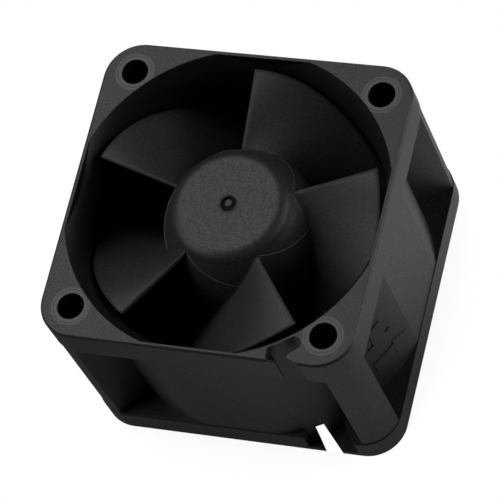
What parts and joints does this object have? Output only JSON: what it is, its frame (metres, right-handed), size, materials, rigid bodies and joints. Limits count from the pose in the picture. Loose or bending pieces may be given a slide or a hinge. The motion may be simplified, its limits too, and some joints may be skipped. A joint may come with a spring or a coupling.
{
  "type": "axial server fan",
  "caption": "Compact square axial cooling fan for a server chassis, with a deep ducted frame, a swept-blade impeller and a brushless motor on ball bearings in its hub.",
  "frame": {"origin": "centre of the exhaust face", "axes": "+Z along the fan axis, from the exhaust face towards the intake face; -Y is the side with the wire slot and the wire notch"},
  "size_m": [0.04, 0.04, 0.028],
  "materials": {
    "frame_plastic": "black glass-filled moulding, fine matte grain",
    "impeller_plastic": "black glass-filled moulding, slightly smoother than the frame",
    "brass": "turned",
    "bearing_steel": "ground",
    "cage_steel": "pressed",
    "lamination_steel": "stacked sheets",
    "insulator_plastic": "natural nylon",
    "copper": "enamelled winding wire",
    "tinned_pin": "tinned",
    "board_laminate": "solder mask over glass epoxy",
    "chip_body": "moulded epoxy",
    "ceramic": "ceramic with tinned ends",
    "yoke_steel": "drawn and plated",
    "magnet": "bonded ferrite",
    "shaft_steel": "ground",
    "spring_steel": "spring temper"
  },
  "bodies": {
    "frame": {"fan_frame": "frame_plastic", "bearing_tube": "brass", "lower_outer_race": "bearing_steel", "upper_outer_race": "bearing_steel", "stator_core": "lamination_steel", "upper_insulator": "insulator_plastic", "lower_insulator": "insulator_plastic", "coil_1": "copper", "coil_2": "copper", "coil_3": "copper", "coil_4": "copper", "terminal_pins": "tinned_pin", "circuit_board": "board_laminate", "driver_chip": "chip_body", "hall_sensor": "chip_body", "board_capacitors": "ceramic", "board_resistors": "chip_body"},
    "rotor": {"impeller": "impeller_plastic", "rotor_yoke": "yoke_steel", "magnet_ring": "magnet", "shaft_bush": "brass", "shaft": "shaft_steel", "lower_inner_race": "bearing_steel", "upper_inner_race": "bearing_steel", "retaining_clip": "spring_steel", "lower_spring_washer": "spring_steel", "upper_spring_washer": "spring_steel"},
    "lower_ball_set": {"lower_bearing_balls": "bearing_steel", "lower_bearing_cage": "cage_steel"},
    "upper_ball_set": {"upper_bearing_balls": "bearing_steel", "upper_bearing_cage": "cage_steel"}
  },
  "joints": [
    {"name": "rotor_spin", "type": "hinge", "parent": "frame", "child": "rotor", "pos_m": [0, 0, 0], "axis": [0, 0, 1], "continuous": true},
    {"name": "lower_balls_roll", "type": "hinge", "parent": "frame", "child": "lower_ball_set", "pos_m": [0, 0, 0], "axis": [0, 0, 1], "continuous": true},
    {"name": "upper_balls_roll", "type": "hinge", "parent": "frame", "child": "upper_ball_set", "pos_m": [0, 0, 0], "axis": [0, 0, 1], "continuous": true}
  ],
  "couplings": [
    {"joint": "lower_balls_roll", "follows": "rotor_spin", "ratio": 0.3857},
    {"joint": "upper_balls_roll", "follows": "rotor_spin", "ratio": 0.3857}
  ]
}
